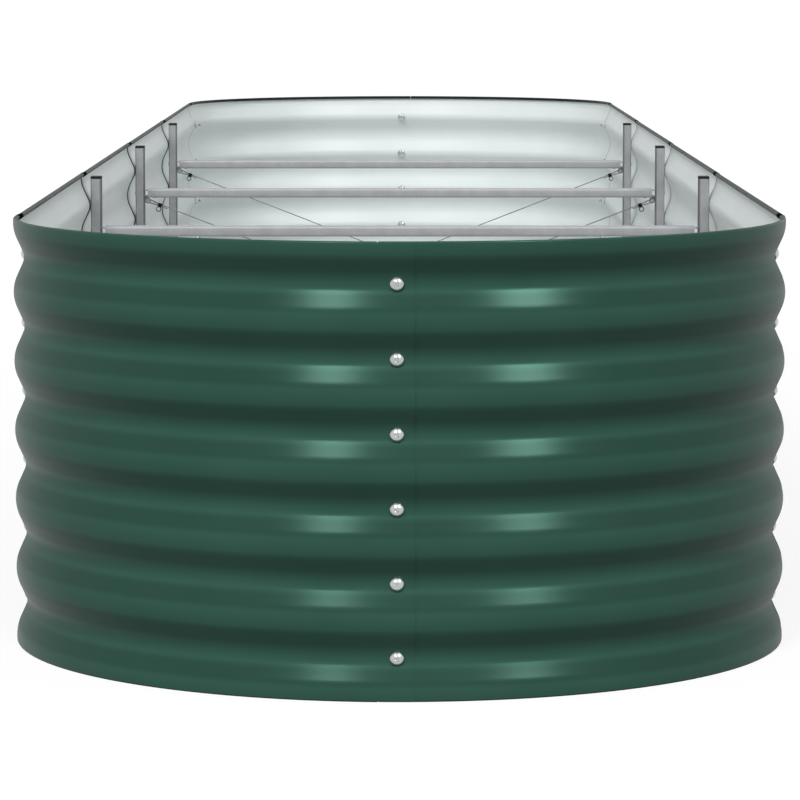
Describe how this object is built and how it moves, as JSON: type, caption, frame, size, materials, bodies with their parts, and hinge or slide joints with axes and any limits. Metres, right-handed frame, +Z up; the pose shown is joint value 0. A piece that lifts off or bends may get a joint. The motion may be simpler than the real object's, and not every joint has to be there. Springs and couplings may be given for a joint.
{
  "type": "raised garden bed",
  "caption": "Long oval raised garden bed of corrugated coated steel panels with rolled edges, bolted at lapped seams and held in shape by posts, cross bars and crossing wires",
  "frame": {"origin": "centre of the footprint, on the ground", "axes": "X across the bed, Y along it, Z up"},
  "size_m": [0.8, 4.234, 0.439],
  "materials": {
    "coated_sheet": "satin",
    "galvanised_steel": "satin",
    "bracket_steel": "satin",
    "steel_wire": "satin",
    "black_plastic": "matte",
    "zinc_fasteners": "satin"
  },
  "bodies": {
    "root": {"corner_panel_front_left": "coated_sheet", "corner_panel_front_right": "coated_sheet", "corner_panel_back_left": "coated_sheet", "corner_panel_back_right": "coated_sheet", "side_panel_left_1": "coated_sheet", "side_panel_left_2": "coated_sheet", "side_panel_left_3": "coated_sheet", "side_panel_left_4": "coated_sheet", "side_panel_right_1": "coated_sheet", "side_panel_right_2": "coated_sheet", "side_panel_right_3": "coated_sheet", "side_panel_right_4": "coated_sheet", "post_left_1": "galvanised_steel", "post_left_2": "galvanised_steel", "post_left_3": "galvanised_steel", "post_right_1": "galvanised_steel", "post_right_2": "galvanised_steel", "post_right_3": "galvanised_steel", "post_cap_left_1": "black_plastic", "post_cap_left_2": "black_plastic", "post_cap_left_3": "black_plastic", "post_cap_right_1": "black_plastic", "post_cap_right_2": "black_plastic", "post_cap_right_3": "black_plastic", "cross_bar_1": "galvanised_steel", "cross_bar_2": "galvanised_steel", "cross_bar_3": "galvanised_steel", "bar_bracket_left_1": "bracket_steel", "bar_bracket_left_2": "bracket_steel", "bar_bracket_left_3": "bracket_steel", "bar_bracket_right_1": "bracket_steel", "bar_bracket_right_2": "bracket_steel", "bar_bracket_right_3": "bracket_steel", "wire_lug_left_1": "bracket_steel", "wire_lug_left_2": "bracket_steel", "wire_lug_left_3": "bracket_steel", "wire_lug_right_1": "bracket_steel", "wire_lug_right_2": "bracket_steel", "wire_lug_right_3": "bracket_steel", "brace_wire_left_1": "steel_wire", "brace_wire_left_2": "steel_wire", "brace_wire_left_3": "steel_wire", "brace_wire_right_1": "steel_wire", "brace_wire_right_2": "steel_wire", "brace_wire_right_3": "steel_wire", "bracket_rivets": "zinc_fasteners", "wire_clamps": "black_plastic", "wire_crimps": "zinc_fasteners", "wire_screws": "zinc_fasteners", "wire_nuts": "zinc_fasteners", "panel_bolts": "zinc_fasteners", "panel_nuts": "zinc_fasteners"}
  },
  "joints": []
}
